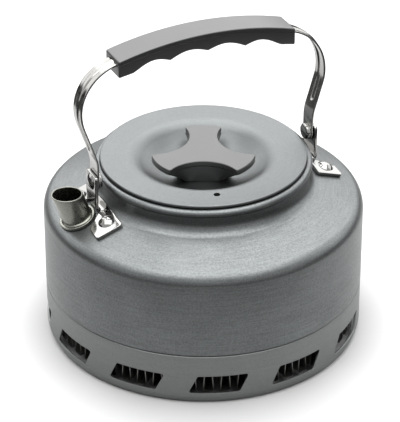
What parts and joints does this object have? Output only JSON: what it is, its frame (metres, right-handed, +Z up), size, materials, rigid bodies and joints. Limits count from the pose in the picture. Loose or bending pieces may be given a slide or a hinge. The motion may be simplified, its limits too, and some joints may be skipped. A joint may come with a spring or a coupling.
{
  "type": "camping kettle",
  "caption": "Squat camping kettle with sunk-knob lid, short spout, folding bail handle and a slotted finned ring under the base.",
  "frame": {"origin": "on the kettle's axis, in the plane it stands on (the foot of the slotted ring)", "axes": "+Z up along the kettle's axis; -X towards the spout; the upright bail lies in the XZ plane and swings about X"},
  "size_m": [0.157, 0.155, 0.16],
  "materials": {
    "anodised_aluminium": "hard anodised grey, fine round brushing, satin",
    "polished_steel": "polished stainless steel",
    "plain_steel": "plain stainless steel",
    "black_plastic": "satin black moulding"
  },
  "bodies": {
    "kettle": {"kettle_body": "anodised_aluminium", "heat_exchanger_ring": "anodised_aluminium", "heat_exchanger_fins": "anodised_aluminium", "spout_tube": "anodised_aluminium", "spout_flange": "anodised_aluminium", "bracket_spout_side": "polished_steel", "bracket_far_side": "polished_steel", "bracket_rivet_1": "polished_steel", "bracket_rivet_2": "polished_steel", "bracket_rivet_3": "polished_steel", "bracket_rivet_4": "polished_steel", "pivot_rivet_spout_side": "polished_steel", "pivot_rivet_far_side": "polished_steel", "pivot_washer_spout_side": "plain_steel", "pivot_washer_far_side": "plain_steel"},
    "bail": {"handle_strap": "polished_steel", "grip_upper": "black_plastic", "grip_lower": "black_plastic"},
    "lid": {"lid_shell": "anodised_aluminium", "lid_knob": "black_plastic", "knob_screw": "plain_steel", "knob_washer": "plain_steel"}
  },
  "joints": [
    {"name": "bail_swing", "type": "hinge", "parent": "kettle", "child": "bail", "pos_m": [0, 0, 0.0913], "axis": [1, 0, 0], "range_deg": [-97, 97]},
    {"name": "lid_lift", "type": "slide", "parent": "kettle", "child": "lid", "axis": [0, 0, 1], "range_m": [0, 0.04]}
  ]
}
